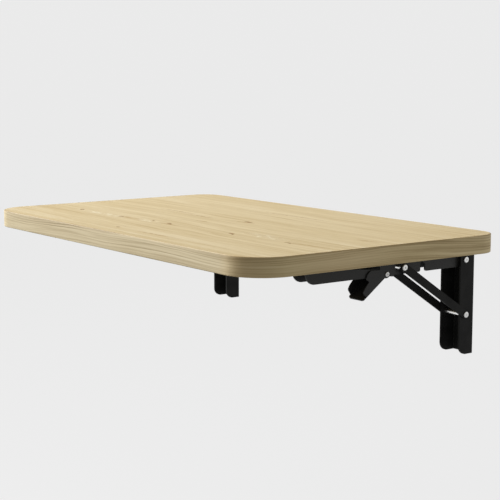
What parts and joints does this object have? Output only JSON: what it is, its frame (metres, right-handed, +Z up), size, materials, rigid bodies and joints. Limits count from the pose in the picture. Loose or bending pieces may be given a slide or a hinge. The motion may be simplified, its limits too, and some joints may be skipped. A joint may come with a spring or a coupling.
{
  "type": "wall mounted drop leaf table",
  "caption": "Shallow rectangular board with rounded corners that folds down flat against the wall on steel channel brackets with sliding pins and release levers.",
  "frame": {"origin": "on the wall, at the centre of the four wall screw holes", "axes": "+X along the wall to the right of someone facing it, +Y into the wall, +Z up; the board stands out along -Y"},
  "size_m": [0.5, 0.302, 0.1245],
  "materials": {
    "board": "light ash grain under a clear matt lacquer",
    "board_edge": "wavy ash veneer strip under a clear matt lacquer",
    "black_steel": "satin black powder coat",
    "bright_steel": "bright zinc plated steel",
    "spring_steel": "oiled spring steel"
  },
  "bodies": {
    "root": {"left_wall_channel": "black_steel", "left_top_pivot_rivet": "bright_steel", "left_top_pivot_washers": "bright_steel", "left_lower_pivot_rivet": "bright_steel", "right_wall_channel": "black_steel", "right_top_pivot_rivet": "bright_steel", "right_top_pivot_washers": "bright_steel", "right_lower_pivot_rivet": "bright_steel"},
    "table": {"table_top": "board", "edge_band": "board_edge", "left_shelf_arm": "black_steel", "left_lever_rivet": "bright_steel", "left_table_screws": "bright_steel", "right_shelf_arm": "black_steel", "right_lever_rivet": "bright_steel", "right_table_screws": "bright_steel"},
    "left_brace": {"left_brace_left_bar": "black_steel", "left_brace_right_bar": "black_steel", "left_brace_eye_rivets": "bright_steel"},
    "left_sliding_pin": {"left_slot_pin": "bright_steel"},
    "left_lever": {"left_release_lever": "black_steel", "left_lever_spring": "spring_steel"},
    "right_brace": {"right_brace_left_bar": "black_steel", "right_brace_right_bar": "black_steel", "right_brace_eye_rivets": "bright_steel"},
    "right_sliding_pin": {"right_slot_pin": "bright_steel"},
    "right_lever": {"right_release_lever": "black_steel", "right_lever_spring": "spring_steel"}
  },
  "joints": [
    {"name": "table_fold", "type": "hinge", "parent": "root", "child": "table", "pos_m": [0, -0.0132, 0.0469], "axis": [1, 0, 0], "range_deg": [0, 90]},
    {"name": "left_brace_swing", "type": "hinge", "parent": "root", "child": "left_brace", "pos_m": [-0.2, -0.0132, -0.0081], "axis": [1, 0, 0], "range_deg": [0, 119.94]},
    {"name": "left_pin_slide", "type": "slide", "parent": "table", "child": "left_sliding_pin", "axis": [0, -0.9965, 0.0839], "range_m": [0, 0.07157]},
    {"name": "left_lever_press", "type": "hinge", "parent": "table", "child": "left_lever", "pos_m": [-0.2, -0.1156, 0.0417], "axis": [-1, 0, 0], "range_deg": [0, 30], "stiffness_Nm_per_rad": 0.03, "springref_deg": -17.19},
    {"name": "right_brace_swing", "type": "hinge", "parent": "root", "child": "right_brace", "pos_m": [0.2, -0.0132, -0.0081], "axis": [1, 0, 0], "range_deg": [0, 119.94]},
    {"name": "right_pin_slide", "type": "slide", "parent": "table", "child": "right_sliding_pin", "axis": [0, -0.9965, 0.0839], "range_m": [0, 0.07157]},
    {"name": "right_lever_press", "type": "hinge", "parent": "table", "child": "right_lever", "pos_m": [0.2, -0.1156, 0.0417], "axis": [-1, 0, 0], "range_deg": [0, 30], "stiffness_Nm_per_rad": 0.03, "springref_deg": -17.19}
  ],
  "couplings": [
    {"joint": "left_brace_swing", "follows": "table_fold", "ratio": 1.3325},
    {"joint": "left_pin_slide", "follows": "table_fold", "m_per_rad": 0.045554},
    {"joint": "right_brace_swing", "follows": "table_fold", "ratio": 1.3325},
    {"joint": "right_pin_slide", "follows": "table_fold", "m_per_rad": 0.045554}
  ]
}
